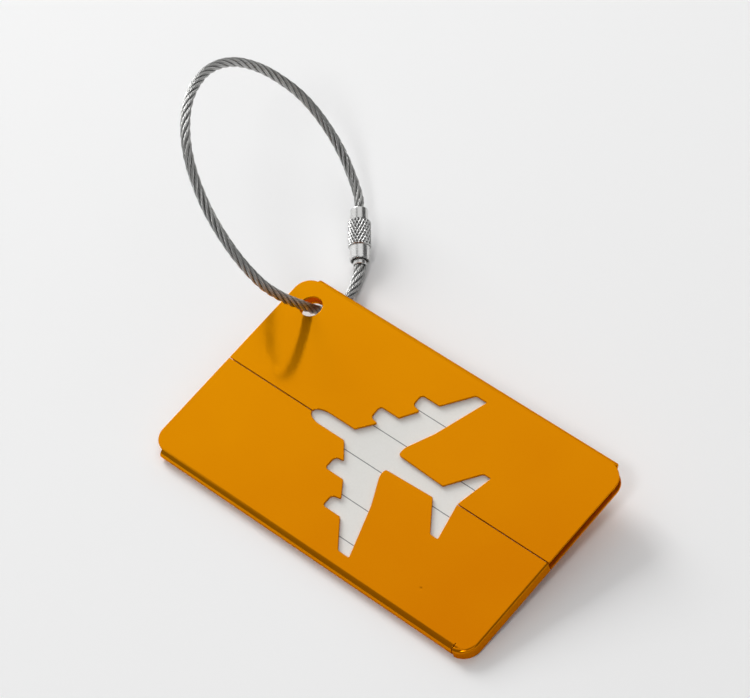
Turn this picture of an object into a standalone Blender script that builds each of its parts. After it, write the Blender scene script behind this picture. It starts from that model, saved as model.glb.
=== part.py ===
"""Luggage tag: two folded aluminium shells that slide apart, an address card, and a steel wire loop.

Metres, +Z up. The tag lies on its bottom long edge and on the clasp of its wire loop, so it leans back a
little. Everything is modelled flat, in the tag's own frame (X along the tag, Y across it, Z out of its front
face, origin at the centre of its thickness), and an empty leans that frame back and lifts it.
"""

import math

import bpy
import bmesh
from mathutils import Matrix, Vector

MM = 0.001

# Tag body
LENGTH = 80.0 * MM
WIDTH = 47.5 * MM
THICKNESS = 2.6 * MM
SHEET = 0.5 * MM  # gauge of the aluminium sheet
SEAM_GAP = 0.3 * MM  # between the two front leaves, and from any piece to the one it touches
FOLD_END = 37.0 * MM  # the round folds stop this far from the middle, before the corners
CORNER_RADIUS = 3.5 * MM
LEAN = math.radians(9.1)

# Back leaves: the lower shell's steps inwards and runs up inside the upper shell's
LAP_EDGE = -11.6 * MM  # lower edge of the upper shell's back leaf
STEP_START = -12.9 * MM
STEP_END = -12.2 * MM
STEP_RISE = 0.7 * MM
INNER_LEAF_EDGE = 22.2 * MM

# End wall of the lower shell, bent down from its front leaf and round one corner
WALL_START = 36.6 * MM
WALL_RADIUS = 3.75 * MM
WALL_EDGE_RADIUS = 0.35 * MM
SLIT = 0.3 * MM
DIMPLE = (23.9 * MM, -17.4 * MM)
DIMPLE_SPHERE = 4.0 * MM
DIMPLE_DEPTH = 0.025 * MM

# Hole for the wire loop, and the corner cut away round it from what slides
HOLE = (-34.3 * MM, 17.7 * MM)
HOLE_RADIUS = 2.3 * MM
CLEAR_X = -31.2 * MM
CLEAR_Y = 14.7 * MM

# Address card
CARD_THICKNESS = 0.3 * MM
CARD_LEFT = -39.3 * MM
CARD_RIGHT = 38.9 * MM
CARD_HALF_WIDTH = 21.9 * MM
CARD_LOW = 0.3 * MM

# Wire rope and its clasp, whose parts are measured from the clasp's foot along its axis
ROPE_RADIUS = 1.0 * MM
CLASP_FOOT = Vector((-39.22, 34.85, -8.36)) * MM
CLASP_HEAD = Vector((-46.47, 43.49, -6.69)) * MM
CLASP_LENGTH = (CLASP_HEAD - CLASP_FOOT).length
SKIRT_TOP = 2.95 * MM
NUT_TOP = 8.7 * MM
SKIRT_RADIUS = 2.0 * MM
NUT_RADIUS = 2.3 * MM
NUT_CHAMFER = 0.2 * MM
RECESS_DEPTH = 0.9 * MM
RECESS_RADIUS = 1.75 * MM
NECK_TOP = 2.85 * MM
NECK_RADIUS = 1.5 * MM
NUT_BORE_RADIUS = 1.8 * MM
COLLAR_START = 8.85 * MM
COLLAR_RADIUS = 1.75 * MM
STUD_START = 6.1 * MM
STUD_RADIUS = 1.65 * MM
STUD_BORE_END = 7.1 * MM  # deeper than the rope's end by the stud's travel
SLEEVE_START = -1.0 * MM  # it stands out of the barrel
SLEEVE_RADIUS = 1.35 * MM
FLANGE_START = 3.05 * MM
FLANGE_TOP = 3.95 * MM
FLANGE_RADIUS = 1.65 * MM
FERRULE_BORE_RADIUS = 1.15 * MM
SLEEVE_BORE_END = 3.3 * MM
ROPE_END_IN_STUD = 9.25 * MM
ROPE_END_IN_SLEEVE = 3.2 * MM

# The rope's way from the clasp's head, over the tag, down through the hole and out to the clasp's foot
ROPE_ROUTE = [
    (-48.0, 45.3, -6.3),
    (-49.8, 46.7, -5.9),
    (-52.2, 48.3, -5.0),
    (-55.7, 50.3, -2.8),
    (-59.1, 51.6, 0.4),
    (-62.7, 52.2, 4.7),
    (-65.7, 51.8, 9.1),
    (-68.1, 50.2, 14.0),
    (-69.6, 48.0, 18.6),
    (-70.4, 44.9, 23.3),
    (-70.3, 41.3, 27.3),
    (-69.3, 37.0, 30.8),
    (-67.5, 32.7, 33.3),
    (-64.9, 28.0, 35.0),
    (-61.8, 23.7, 35.5),
    (-58.0, 19.6, 35.0),
    (-54.1, 16.3, 33.3),
    (-49.9, 13.6, 30.7),
    (-46.0, 11.8, 27.5),
    (-42.1, 10.7, 23.6),
    (-39.3, 10.5, 19.7),
    (-37.0, 11.1, 15.1),
    (-35.7, 12.4, 11.2),
    (-34.9, 14.0, 7.6),
    (-34.5, 15.9, 3.9),
    (-34.3, 17.4, 1.0),
    (-34.3, 18.9, -1.7),
    (-34.2, 20.4, -3.7),
    (-34.1, 22.8, -5.6),
    (-34.5, 25.7, -7.0),
    (-35.7, 28.9, -8.1),
    (-37.3, 32.1, -8.6),
]
ROPE_STEPS_PER_SPAN = 2

# Half of the aeroplane cut-out, nose to tail: each corner and the radius that rounds it
NOSE = -18.3 * MM
NOSE_LENGTH = 3.2 * MM
FUSELAGE_HALF = 1.5 * MM
AEROPLANE_CORNERS = [
    (-8.8, 1.5, 0.5),
    (-5.9, 4.9, 0.2),
    (-7.9, 5.2, 1.0),
    (-7.9, 8.05, 0.7),
    (-3.3, 8.05, 0.3),
    (-0.9, 11.4, 0.2),
    (-2.9, 11.8, 0.9),
    (-2.9, 14.4, 0.7),
    (1.5, 14.4, 0.3),
    (5.9, 20.0, 1.0),
    (8.7, 20.0, 0.2),
    (4.9, 9.3, 12.0),
    (1.9, 3.4, 3.0),
    (2.1, 1.9, 0.5),
    (13.3, 1.45, 0.3),
    (18.0, 7.7, 0.9),
    (19.9, 7.7, 0.2),
    (18.15, 0.0, 0.0),
]

ARC_STEP = math.radians(11.25)
TURNED_STEPS = 32

FRONT_TOP = THICKNESS / 2
FRONT_MID = (THICKNESS - SHEET) / 2
FRONT_UNDER = THICKNESS / 2 - SHEET
FOLD_CENTRE = (WIDTH - THICKNESS) / 2
MARGIN = 1.0 * MM  # how far a cutter runs past what it cuts


def clear_scene():
    for old in list(bpy.data.objects):
        bpy.data.objects.remove(old)


def new_collection(name):
    made = bpy.data.collections.new(name)
    bpy.context.scene.collection.children.link(made)
    return made


def new_material(name, colour, metallic, roughness):
    made = bpy.data.materials.new(name)
    made.use_nodes = True
    shader = made.node_tree.nodes["Principled BSDF"]
    shader.inputs["Base Color"].default_value = (*colour, 1.0)
    shader.inputs["Metallic"].default_value = metallic
    shader.inputs["Roughness"].default_value = roughness
    return made


def arc(centre, radius, start, end):
    """Points on an arc, both ends among them."""
    steps = max(2, round(abs(end - start) / ARC_STEP))
    angles = [start + (end - start) * i / steps for i in range(steps + 1)]
    return [(centre[0] + radius * math.cos(a), centre[1] + radius * math.sin(a)) for a in angles]


def rounded(corners):
    """An open outline through the corners (x, y, radius), each but the ends rounded by its own radius."""
    outline = [corners[0][:2]]
    for before, here, after in zip(corners, corners[1:], corners[2:]):
        corner = Vector(here[:2])
        back = (Vector(before[:2]) - corner).normalized()
        ahead = (Vector(after[:2]) - corner).normalized()
        half = back.angle(ahead) / 2
        to_centre = (back + ahead).normalized() * (here[2] / math.sin(half))
        centre = corner + to_centre
        first = corner + back * (here[2] / math.tan(half)) - centre
        last = corner + ahead * (here[2] / math.tan(half)) - centre
        start = math.atan2(first.y, first.x)
        turn = math.remainder(math.atan2(last.y, last.x) - start, math.tau)
        outline += arc(centre, here[2], start, start + turn)
    return outline + [corners[-1][:2]]


def link(obj, collection, parent):
    collection.objects.link(obj)
    obj.parent = parent
    return obj


def make_cutter(obj):
    obj.hide_render = True
    obj.display_type = "WIRE"
    return obj


def extruded(name, outline, low, high, collection, parent):
    """A closed flat outline, filled and extruded from low to high."""
    curve = bpy.data.curves.new(name, "CURVE")
    curve.dimensions = "2D"
    curve.fill_mode = "BOTH"
    curve.extrude = (high - low) / 2
    spline = curve.splines.new("POLY")
    spline.points.add(len(outline) - 1)
    for point, (x, y) in zip(spline.points, outline):
        point.co = (x, y, 0, 1)
    spline.use_cyclic_u = True
    drawn = bpy.data.objects.new(name + "_outline", curve)
    bpy.context.scene.collection.objects.link(drawn)
    graph = bpy.context.evaluated_depsgraph_get()
    mesh = bpy.data.meshes.new_from_object(drawn.evaluated_get(graph))
    bpy.data.objects.remove(drawn)
    work = bmesh.new()
    work.from_mesh(mesh)
    bmesh.ops.remove_doubles(work, verts=work.verts, dist=1e-6)
    bmesh.ops.translate(work, verts=work.verts, vec=(0, 0, (low + high) / 2))
    bmesh.ops.recalc_face_normals(work, faces=work.faces)
    work.to_mesh(mesh)
    work.free()
    return link(bpy.data.objects.new(name, mesh), collection, parent)


def box(name, low, high, collection, parent):
    outline = [(low[0], low[1]), (high[0], low[1]), (high[0], high[1]), (low[0], high[1])]
    return extruded(name, outline, low[2], high[2], collection, parent)


def folded_sheet(name, profile, left, right, collection, parent):
    """An open sheet that follows the profile (y, z) from left to right, thickened to the sheet's gauge."""
    work = bmesh.new()
    rows = [[work.verts.new((x, y, z)) for x in (left, right)] for y, z in profile]
    for row, following in zip(rows, rows[1:]):
        work.faces.new((row[0], row[1], following[1], following[0]))
    mesh = bpy.data.meshes.new(name)
    work.to_mesh(mesh)
    work.free()
    sheet = link(bpy.data.objects.new(name, mesh), collection, parent)
    gauge = sheet.modifiers.new("gauge", "SOLIDIFY")
    gauge.thickness = SHEET
    gauge.offset = 0.0
    gauge.use_even_offset = True
    return sheet


def join_or_cut(obj, other, operation):
    change = obj.modifiers.new(other.name, "BOOLEAN")
    change.operation = operation
    change.solver = "EXACT"
    change.object = other


def settle(obj, sharp=30):
    """Turns the object's modifiers into its mesh and shades its round stretches smooth."""
    graph = bpy.context.evaluated_depsgraph_get()
    mesh = bpy.data.meshes.new_from_object(obj.evaluated_get(graph))
    obj.modifiers.clear()
    obj.data = mesh
    mesh.shade_smooth()
    mesh.set_sharp_from_angle(angle=math.radians(sharp))


def aeroplane_outline():
    """The whole cut-out: a half-elliptical nose, then one side's corners and the same mirrored."""
    nose = [
        (NOSE + NOSE_LENGTH * (1 - math.cos(a)), FUSELAGE_HALF * math.sin(a))
        for a in (math.radians(15 * i) for i in range(6))
    ]
    side = [(NOSE + NOSE_LENGTH, FUSELAGE_HALF, 0)]
    side += [(x * MM, y * MM, radius * MM) for x, y, radius in AEROPLANE_CORNERS]
    half = nose + rounded(side)
    return half + [(x, -y) for x, y in reversed(half[1:-1])]


def corner_cutter(name, along, across, cutters, frame):
    """Takes off what lies beyond a fold's end and outside the rounded corner there."""
    centre = (LENGTH / 2 - CORNER_RADIUS, FOLD_CENTRE + 0.35 * MM - CORNER_RADIUS)
    end = math.acos((FOLD_END - centre[0]) / CORNER_RADIUS)
    outline = [(FOLD_END, WIDTH / 2 + MARGIN), (LENGTH / 2 + MARGIN, WIDTH / 2 + MARGIN)]
    outline += [(LENGTH / 2 + MARGIN, centre[1])] + arc(centre, CORNER_RADIUS, 0, end)
    outline = [(x * along, y * across) for x, y in outline]
    return make_cutter(extruded(name, outline, -THICKNESS, THICKNESS, cutters, frame))


def make_upper_shell(parts, cutters, frame, aeroplane, left_corners):
    """Front leaf above the seam, top fold, back leaf down to the lap."""
    fold = arc((FOLD_CENTRE, 0), FRONT_MID, math.pi / 2, -math.pi / 2)
    profile = [(SEAM_GAP / 2, FRONT_MID)] + fold + [(LAP_EDGE, -FRONT_MID)]
    shell = folded_sheet("upper_shell", profile, -LENGTH / 2, LENGTH / 2, parts, frame)
    right_corner = corner_cutter("upper_right_corner", 1, 1, cutters, frame)
    wall_room = box(
        "room_for_end_wall",
        (LENGTH / 2 - SHEET - SEAM_GAP, -WIDTH / 2, -THICKNESS),
        (LENGTH / 2 + MARGIN, SEAM_GAP / 2, FRONT_UNDER - 0.1 * MM),
        cutters,
        frame,
    )
    hole = extruded(
        "wire_hole", arc(HOLE, HOLE_RADIUS, 0, math.tau)[:-1], -THICKNESS, THICKNESS, cutters, frame
    )
    for cutter in (left_corners[0], right_corner, make_cutter(wall_room), make_cutter(hole), aeroplane):
        join_or_cut(shell, cutter, "DIFFERENCE")
    settle(shell)
    return shell


def make_end_cap(cutters, frame):
    """The end of the lower shell's front leaf with the wall bent down from it, its bend rounded."""
    centre = (LENGTH / 2 - WALL_RADIUS, -WIDTH / 2 + WALL_RADIUS)
    seam = -SEAM_GAP / 2
    outline = [(WALL_START, seam), (WALL_START, -WIDTH / 2)]
    outline += arc(centre, WALL_RADIUS, math.acos((WALL_START - centre[0]) / WALL_RADIUS) * -1, 0)
    outline += [(LENGTH / 2, seam)]
    cap = make_cutter(extruded("end_cap", outline[:1] + outline[2:], -FRONT_TOP, FRONT_TOP, cutters, frame))
    work = bmesh.new()
    work.from_mesh(cap.data)
    bend = [
        edge
        for edge in work.edges
        if all(vert.co.z > FRONT_TOP - 1e-6 for vert in edge.verts)
        and max(vert.co.x for vert in edge.verts) > WALL_START + 1e-6
        and min(vert.co.y for vert in edge.verts) < seam - 1e-6
        and len({face.normal.z > 0.5 for face in edge.link_faces}) == 2
    ]
    bmesh.ops.bevel(work, geom=bend, offset=WALL_EDGE_RADIUS, segments=3, profile=0.5, affect="EDGES")
    work.to_mesh(cap.data)
    work.free()
    inner = [(WALL_START - MARGIN, seam + MARGIN), (WALL_START - MARGIN, -WIDTH / 2 + SHEET)]
    inner += arc(centre, WALL_RADIUS - SHEET, -math.pi / 2, 0) + [(LENGTH / 2 - SHEET, seam + MARGIN)]
    hollow = extruded("end_cap_hollow", inner, -THICKNESS, FRONT_UNDER, cutters, frame)
    join_or_cut(cap, make_cutter(hollow), "DIFFERENCE")
    return cap


def make_lower_shell(parts, cutters, frame, aeroplane, left_corners):
    """Front leaf below the seam, bottom fold, back leaf that steps inside the upper shell, end wall."""
    fold = arc((-FOLD_CENTRE, 0), FRONT_MID, math.pi / 2, math.pi * 1.5)
    profile = [(-SEAM_GAP / 2, FRONT_MID)] + fold
    profile += [(STEP_START, -FRONT_MID), (STEP_END, -FRONT_MID + STEP_RISE)]
    profile += [(INNER_LEAF_EDGE, -FRONT_MID + STEP_RISE)]
    right = LENGTH / 2 - SHEET - SEAM_GAP
    shell = folded_sheet("lower_shell", profile, -LENGTH / 2, right, parts, frame)

    slit = box(
        "slit_beside_end_wall",
        (WALL_START - SLIT, -WIDTH / 2 - MARGIN, -THICKNESS),
        (LENGTH / 2, -FOLD_CENTRE + 0.3 * MM, THICKNESS),
        cutters,
        frame,
    )
    wall_centre = (LENGTH / 2 - WALL_RADIUS, -WIDTH / 2 + WALL_RADIUS)
    room = [(WALL_START - SLIT, -WIDTH / 2), (LENGTH / 2, -WIDTH / 2), (LENGTH / 2, wall_centre[1])]
    room += arc(wall_centre, WALL_RADIUS - SHEET - SEAM_GAP, 0, -math.pi / 2)
    wall_room = extruded("room_inside_wall", room, -THICKNESS, FRONT_UNDER - 0.1 * MM, cutters, frame)
    rope_room = box(
        "room_for_rope",
        (-LENGTH / 2 - MARGIN, CLEAR_Y, -THICKNESS),
        (CLEAR_X, WIDTH / 2, THICKNESS),
        cutters,
        frame,
    )
    far_corner = box(
        "inner_leaf_corner",
        (FOLD_END, FOLD_CENTRE - CORNER_RADIUS, -THICKNESS),
        (LENGTH / 2, WIDTH / 2, THICKNESS),
        cutters,
        frame,
    )
    for cutter in (slit, wall_room, rope_room, far_corner, left_corners[1]):
        join_or_cut(shell, make_cutter(cutter), "DIFFERENCE")
    join_or_cut(shell, make_end_cap(cutters, frame), "UNION")
    join_or_cut(shell, aeroplane, "DIFFERENCE")

    work = bmesh.new()
    place = Matrix.Translation((*DIMPLE, FRONT_TOP + DIMPLE_SPHERE - DIMPLE_DEPTH))
    bmesh.ops.create_uvsphere(work, u_segments=16, v_segments=60, radius=DIMPLE_SPHERE, matrix=place)
    mesh = bpy.data.meshes.new("dimple")
    work.to_mesh(mesh)
    work.free()
    dimple = make_cutter(link(bpy.data.objects.new("dimple", mesh), cutters, frame))
    join_or_cut(shell, dimple, "DIFFERENCE")
    settle(shell)
    return shell


def make_card(parts, frame):
    """Card with one corner cut away, so that it slides out past the wire."""
    half = CARD_HALF_WIDTH
    middle = (CARD_LEFT + CARD_RIGHT) / 2
    corners = [
        (middle, -half, 0),
        (CARD_RIGHT, -half, 2.8 * MM),
        (CARD_RIGHT, half, 2.8 * MM),
        (CLEAR_X, half, 1.0 * MM),
        (CLEAR_X, CLEAR_Y, 2.0 * MM),
        (CARD_LEFT, CLEAR_Y, 1.0 * MM),
        (CARD_LEFT, -half, 2.8 * MM),
        (middle, -half, 0),
    ]
    outline = rounded(corners)[:-1]
    return extruded("id_card", outline, CARD_LOW, CARD_LOW + CARD_THICKNESS, parts, frame)


def clasp_point(along):
    return CLASP_FOOT + (CLASP_HEAD - CLASP_FOOT).normalized() * along


def turned(name, profile, parts, frame):
    """A profile of (radius, height) turned about the clasp's axis, its outer side running downwards."""
    mesh = bpy.data.meshes.new(name)
    edges = [(i, i + 1) for i in range(len(profile) - 1)]
    if profile[0][0] > 0:
        edges.append((len(profile) - 1, 0))
    mesh.from_pydata([(radius, 0, height) for radius, height in profile], edges, [])
    piece = link(bpy.data.objects.new(name, mesh), parts, frame)
    piece.location = CLASP_FOOT
    piece.rotation_mode = "QUATERNION"
    piece.rotation_quaternion = (CLASP_HEAD - CLASP_FOOT).to_track_quat("Z", "X")
    screw = piece.modifiers.new("turn", "SCREW")
    screw.steps = TURNED_STEPS
    screw.render_steps = TURNED_STEPS
    screw.use_merge_vertices = True
    screw.merge_threshold = 1e-6
    return piece


def make_barrel_nut(parts, frame):
    """Threaded above, necked below so that the swivel ferrule's flange can't pull out, open at its foot."""
    profile = [
        (NUT_BORE_RADIUS, NUT_TOP),
        (NUT_RADIUS - NUT_CHAMFER, NUT_TOP),
        (NUT_RADIUS, NUT_TOP - NUT_CHAMFER),
        (NUT_RADIUS, SKIRT_TOP + NUT_CHAMFER),
        (NUT_RADIUS - NUT_CHAMFER, SKIRT_TOP),
        (SKIRT_RADIUS, SKIRT_TOP),
        (SKIRT_RADIUS, 0),
        (RECESS_RADIUS, 0),
        (RECESS_RADIUS, RECESS_DEPTH),
        (NECK_RADIUS, RECESS_DEPTH),
        (NECK_RADIUS, NECK_TOP),
        (NUT_BORE_RADIUS, NECK_TOP),
    ]
    return turned("barrel_nut", profile, parts, frame)


def make_stud_ferrule(parts, frame):
    """Collar crimped on one end of the rope, with the stud that screws into the nut."""
    profile = [
        (0, STUD_BORE_END),
        (FERRULE_BORE_RADIUS, STUD_BORE_END),
        (FERRULE_BORE_RADIUS, CLASP_LENGTH),
        (COLLAR_RADIUS, CLASP_LENGTH),
        (COLLAR_RADIUS, COLLAR_START),
        (STUD_RADIUS, COLLAR_START),
        (STUD_RADIUS, STUD_START),
        (0, STUD_START),
    ]
    return turned("stud_ferrule", profile, parts, frame)


def make_swivel_ferrule(parts, frame):
    """Flanged sleeve crimped on the rope's other end, on which the nut turns."""
    profile = [
        (0, FLANGE_TOP),
        (FLANGE_RADIUS, FLANGE_TOP),
        (FLANGE_RADIUS, FLANGE_START),
        (SLEEVE_RADIUS, FLANGE_START),
        (SLEEVE_RADIUS, SLEEVE_START),
        (FERRULE_BORE_RADIUS, SLEEVE_START),
        (FERRULE_BORE_RADIUS, SLEEVE_BORE_END),
        (0, SLEEVE_BORE_END),
    ]
    return turned("swivel_ferrule", profile, parts, frame)


def smooth_through(points, steps):
    """Points on a Catmull-Rom curve through the given ones, steps to each span."""
    padded = [points[0] * 2 - points[1]] + points + [points[-1] * 2 - points[-2]]
    curve = []
    for a, b, c, d in zip(padded, padded[1:], padded[2:], padded[3:]):
        for i in range(steps):
            t = i / steps
            curve.append(
                b
                + (c - a) * (t / 2)
                + (a * 2 - b * 5 + c * 4 - d) * (t * t / 2)
                + (b * 3 - a - c * 3 + d) * (t**3 / 2)
            )
    return curve + [points[-1]]


def make_wire_rope(parts, frame):
    route = [clasp_point(ROPE_END_IN_STUD), clasp_point(CLASP_LENGTH)]
    route += [Vector(point) * MM for point in ROPE_ROUTE]
    route += [clasp_point(SLEEVE_START), clasp_point(ROPE_END_IN_SLEEVE)]
    curve = bpy.data.curves.new("wire_rope", "CURVE")
    curve.dimensions = "3D"
    curve.bevel_depth = ROPE_RADIUS
    curve.bevel_resolution = 2
    curve.use_fill_caps = True
    spline = curve.splines.new("POLY")
    points = smooth_through(route, ROPE_STEPS_PER_SPAN)
    spline.points.add(len(points) - 1)
    for point, place in zip(spline.points, points):
        point.co = (*place, 1)
    spline.use_smooth = True
    return link(bpy.data.objects.new("wire_rope", curve), parts, frame)


def main():
    clear_scene()
    parts = new_collection("luggage_tag")
    cutters = new_collection("cutters")

    frame = bpy.data.objects.new("tag_frame", None)
    parts.objects.link(frame)
    frame.rotation_euler = (LEAN, 0, 0)
    frame.location = (0, 0, FOLD_CENTRE * math.sin(LEAN) + THICKNESS / 2)

    outline = aeroplane_outline()
    aeroplane = make_cutter(extruded("aeroplane", outline, 0.7 * MM, THICKNESS, cutters, frame))
    left_corners = [
        corner_cutter("upper_left_corner", -1, 1, cutters, frame),
        corner_cutter("lower_left_corner", -1, -1, cutters, frame),
    ]
    pieces = [
        (make_upper_shell(parts, cutters, frame, aeroplane, left_corners), "gold_anodised"),
        (make_lower_shell(parts, cutters, frame, aeroplane, left_corners), "gold_anodised"),
        (make_card(parts, frame), "card"),
        (make_wire_rope(parts, frame), "wire"),
        (make_stud_ferrule(parts, frame), "steel"),
        (make_swivel_ferrule(parts, frame), "steel"),
        (make_barrel_nut(parts, frame), "knurled_steel"),
    ]
    finishes = {
        "gold_anodised": ((0.72, 0.26, 0.004), 1.0, 0.16),
        "card": ((0.66, 0.65, 0.61), 0.0, 0.70),
        "wire": ((0.42, 0.42, 0.41), 1.0, 0.35),
        "steel": ((0.66, 0.66, 0.65), 1.0, 0.28),
        "knurled_steel": ((0.58, 0.58, 0.57), 1.0, 0.32),
    }
    for piece, finish in pieces:
        piece.data.materials.clear()
        piece.data.materials.append(new_material(piece.name, *finishes[finish]))


main()
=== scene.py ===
"""Looks of the luggage tag: gold-anodised sheet, a ruled card, twisted wire rope and a knurled clasp.

Metres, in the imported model's frame. Every piece is made in the tag's own frame or along the clasp's axis,
and is then placed. The tag's frame has X along the tag, Y across it and Z out of its front face, with its
origin at the centre of its thickness.
"""

import math

import bmesh
import bpy
from mathutils import Matrix, Vector


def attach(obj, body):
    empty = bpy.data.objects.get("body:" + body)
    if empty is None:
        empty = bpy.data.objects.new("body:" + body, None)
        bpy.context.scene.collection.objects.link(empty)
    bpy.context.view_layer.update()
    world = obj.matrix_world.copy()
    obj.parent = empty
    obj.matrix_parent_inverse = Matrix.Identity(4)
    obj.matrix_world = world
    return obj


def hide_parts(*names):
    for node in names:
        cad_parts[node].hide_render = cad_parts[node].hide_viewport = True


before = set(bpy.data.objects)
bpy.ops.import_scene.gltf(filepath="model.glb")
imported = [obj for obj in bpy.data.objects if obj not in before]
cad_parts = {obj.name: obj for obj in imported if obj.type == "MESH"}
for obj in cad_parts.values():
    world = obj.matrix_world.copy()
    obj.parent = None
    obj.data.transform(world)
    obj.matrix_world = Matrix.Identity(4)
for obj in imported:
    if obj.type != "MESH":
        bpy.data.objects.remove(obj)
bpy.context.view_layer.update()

MM = 0.001

# Tag body, as in the CAD
LENGTH = 80.0 * MM
WIDTH = 47.5 * MM
THICKNESS = 2.6 * MM
SHEET = 0.5 * MM
LEAN = math.radians(9.1)
FOLD_END = 37.0 * MM
CORNER_RADIUS = 3.5 * MM
CORNER_RISE = 0.35 * MM  # how far the corners' arcs run on into the fold
LAP_EDGE = -11.6 * MM
STEP_START = -12.9 * MM
STEP_END = -12.2 * MM
STEP_RISE = 0.7 * MM
INNER_LEAF_EDGE = 22.2 * MM
WALL_START = 36.6 * MM
WALL_RADIUS = 3.75 * MM
HOLE = (-34.3 * MM, 17.7 * MM)
HOLE_RADIUS = 2.3 * MM
CLEAR_X = -31.2 * MM
CLEAR_Y = 14.7 * MM
DIMPLE = (23.9 * MM, -17.4 * MM)
DIMPLE_SPHERE = 4.0 * MM
DIMPLE_DEPTH = 0.025 * MM

FRONT_TOP = THICKNESS / 2
MIDDLE = (THICKNESS - SHEET) / 2  # height of the front leaf's middle surface, and the folds' radius
FOLD_CENTRE = (WIDTH - THICKNESS) / 2
RISE = FOLD_CENTRE * math.sin(LEAN) + THICKNESS / 2
TAG = Matrix.Translation((0, 0, RISE)) @ Matrix.Rotation(LEAN, 4, "X")

# Finer than the CAD
HALF_SEAM = 0.10 * MM
SLIT = 0.2 * MM
EDGE_BEVEL = 0.05 * MM
WALL_BEND = 0.30 * MM  # radius of the end wall's bend, at the middle of the sheet
WALL_CLEARANCE = 0.2 * MM  # between the end wall and the leaf ends inside it
FLAT_STRIP = 0.3 * MM  # narrow flat strip beside each bend, which keeps the large faces' shading flat
FOLD_STEPS = 24
BEND_STEPS = 6
HOLE_STEPS = 64
WELD = 1e-7  # distance at which points count as one

# Aeroplane cut-out, as in the CAD
NOSE = -18.3 * MM
NOSE_LENGTH = 3.2 * MM
FUSELAGE_HALF = 1.5 * MM
AEROPLANE_CORNERS = [
    (-8.8, 1.5, 0.5),
    (-5.9, 4.9, 0.2),
    (-7.9, 5.2, 1.0),
    (-7.9, 8.05, 0.7),
    (-3.3, 8.05, 0.3),
    (-0.9, 11.4, 0.2),
    (-2.9, 11.8, 0.9),
    (-2.9, 14.4, 0.7),
    (1.5, 14.4, 0.3),
    (5.9, 20.0, 1.0),
    (8.7, 20.0, 0.2),
    (4.9, 9.3, 12.0),
    (1.9, 3.4, 3.0),
    (2.1, 1.9, 0.5),
    (13.3, 1.45, 0.3),
    (18.0, 7.7, 0.9),
    (19.9, 7.7, 0.2),
    (18.15, 0.0, 0.0),
]
ARC_STEP = math.radians(7.5)

# Address card
CARD_LEFT = -39.3 * MM
CARD_RIGHT = 38.9 * MM
CARD_HALF_WIDTH = 21.9 * MM
CARD_LOW = 0.3 * MM
CARD_HIGH = 0.6 * MM
CARD_CORNER = 2.8 * MM
NOTCH_OUTER_CORNER = 1.0 * MM
NOTCH_INNER_CORNER = 2.0 * MM
CARD_BEVEL = 0.04 * MM
RULED_LINES = (11.7, 4.3, -2.7, -10.4, -17.4)  # mm across the card
RULED_WIDTH = 0.17  # mm

# Clasp: distances are along its axis, from its foot
CLASP_FOOT = Vector((-39.22, 34.85, -8.36)) * MM
CLASP_HEAD = Vector((-46.47, 43.49, -6.69)) * MM
CLASP_AXIS = (CLASP_HEAD - CLASP_FOOT).normalized()
CLASP_LENGTH = (CLASP_HEAD - CLASP_FOOT).length
SKIRT_TOP = 2.95 * MM
NUT_TOP = 8.7 * MM
SKIRT_RADIUS = 2.0 * MM
NUT_RADIUS = 2.3 * MM
RECESS_DEPTH = 0.9 * MM
RECESS_RADIUS = 1.75 * MM
NECK_TOP = 2.85 * MM
NECK_RADIUS = 1.5 * MM
NUT_BORE_RADIUS = 1.8 * MM
COLLAR_START = 8.85 * MM
COLLAR_RADIUS = 1.75 * MM
STUD_START = 6.1 * MM
STUD_BORE_END = 7.1 * MM
SLEEVE_START = -1.0 * MM
SLEEVE_RADIUS = 1.35 * MM
FLANGE_START = 3.05 * MM
FLANGE_TOP = 3.95 * MM
FLANGE_RADIUS = 1.65 * MM
FERRULE_BORE_RADIUS = 1.15 * MM
SLEEVE_BORE_END = 3.3 * MM
ROPE_END_IN_STUD = 9.25 * MM
ROPE_END_IN_SLEEVE = 3.2 * MM
THREAD_PITCH = 0.5 * MM
THREAD_CREST = 1.72 * MM
THREAD_ROOT = 1.50 * MM
KNURL_TEETH = 20
KNURL_PITCH = 1.38 * MM  # along the axis, of each of the two crossing sets of grooves
KNURL_DEPTH = 0.20 * MM
KNURL_SLOPE = 1.9  # steepness of a groove's sides
KNURL_CREST = 0.25  # taken off the wave, which leaves the crests flat
KNURL_STEP = 0.05 * MM  # between the profile's rows on the knurl and on the thread
PLAIN_STEP = 0.2 * MM  # between its rows on a smooth stretch
BARREL_COLUMNS = 240
PLAIN_COLUMNS = 64
ROUNDING = 0.3  # how far a chamfer's middle row stands in, as a share of the chamfer
ROW_GAP = 0.02 * MM  # between two rows that would otherwise be at one height

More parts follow.
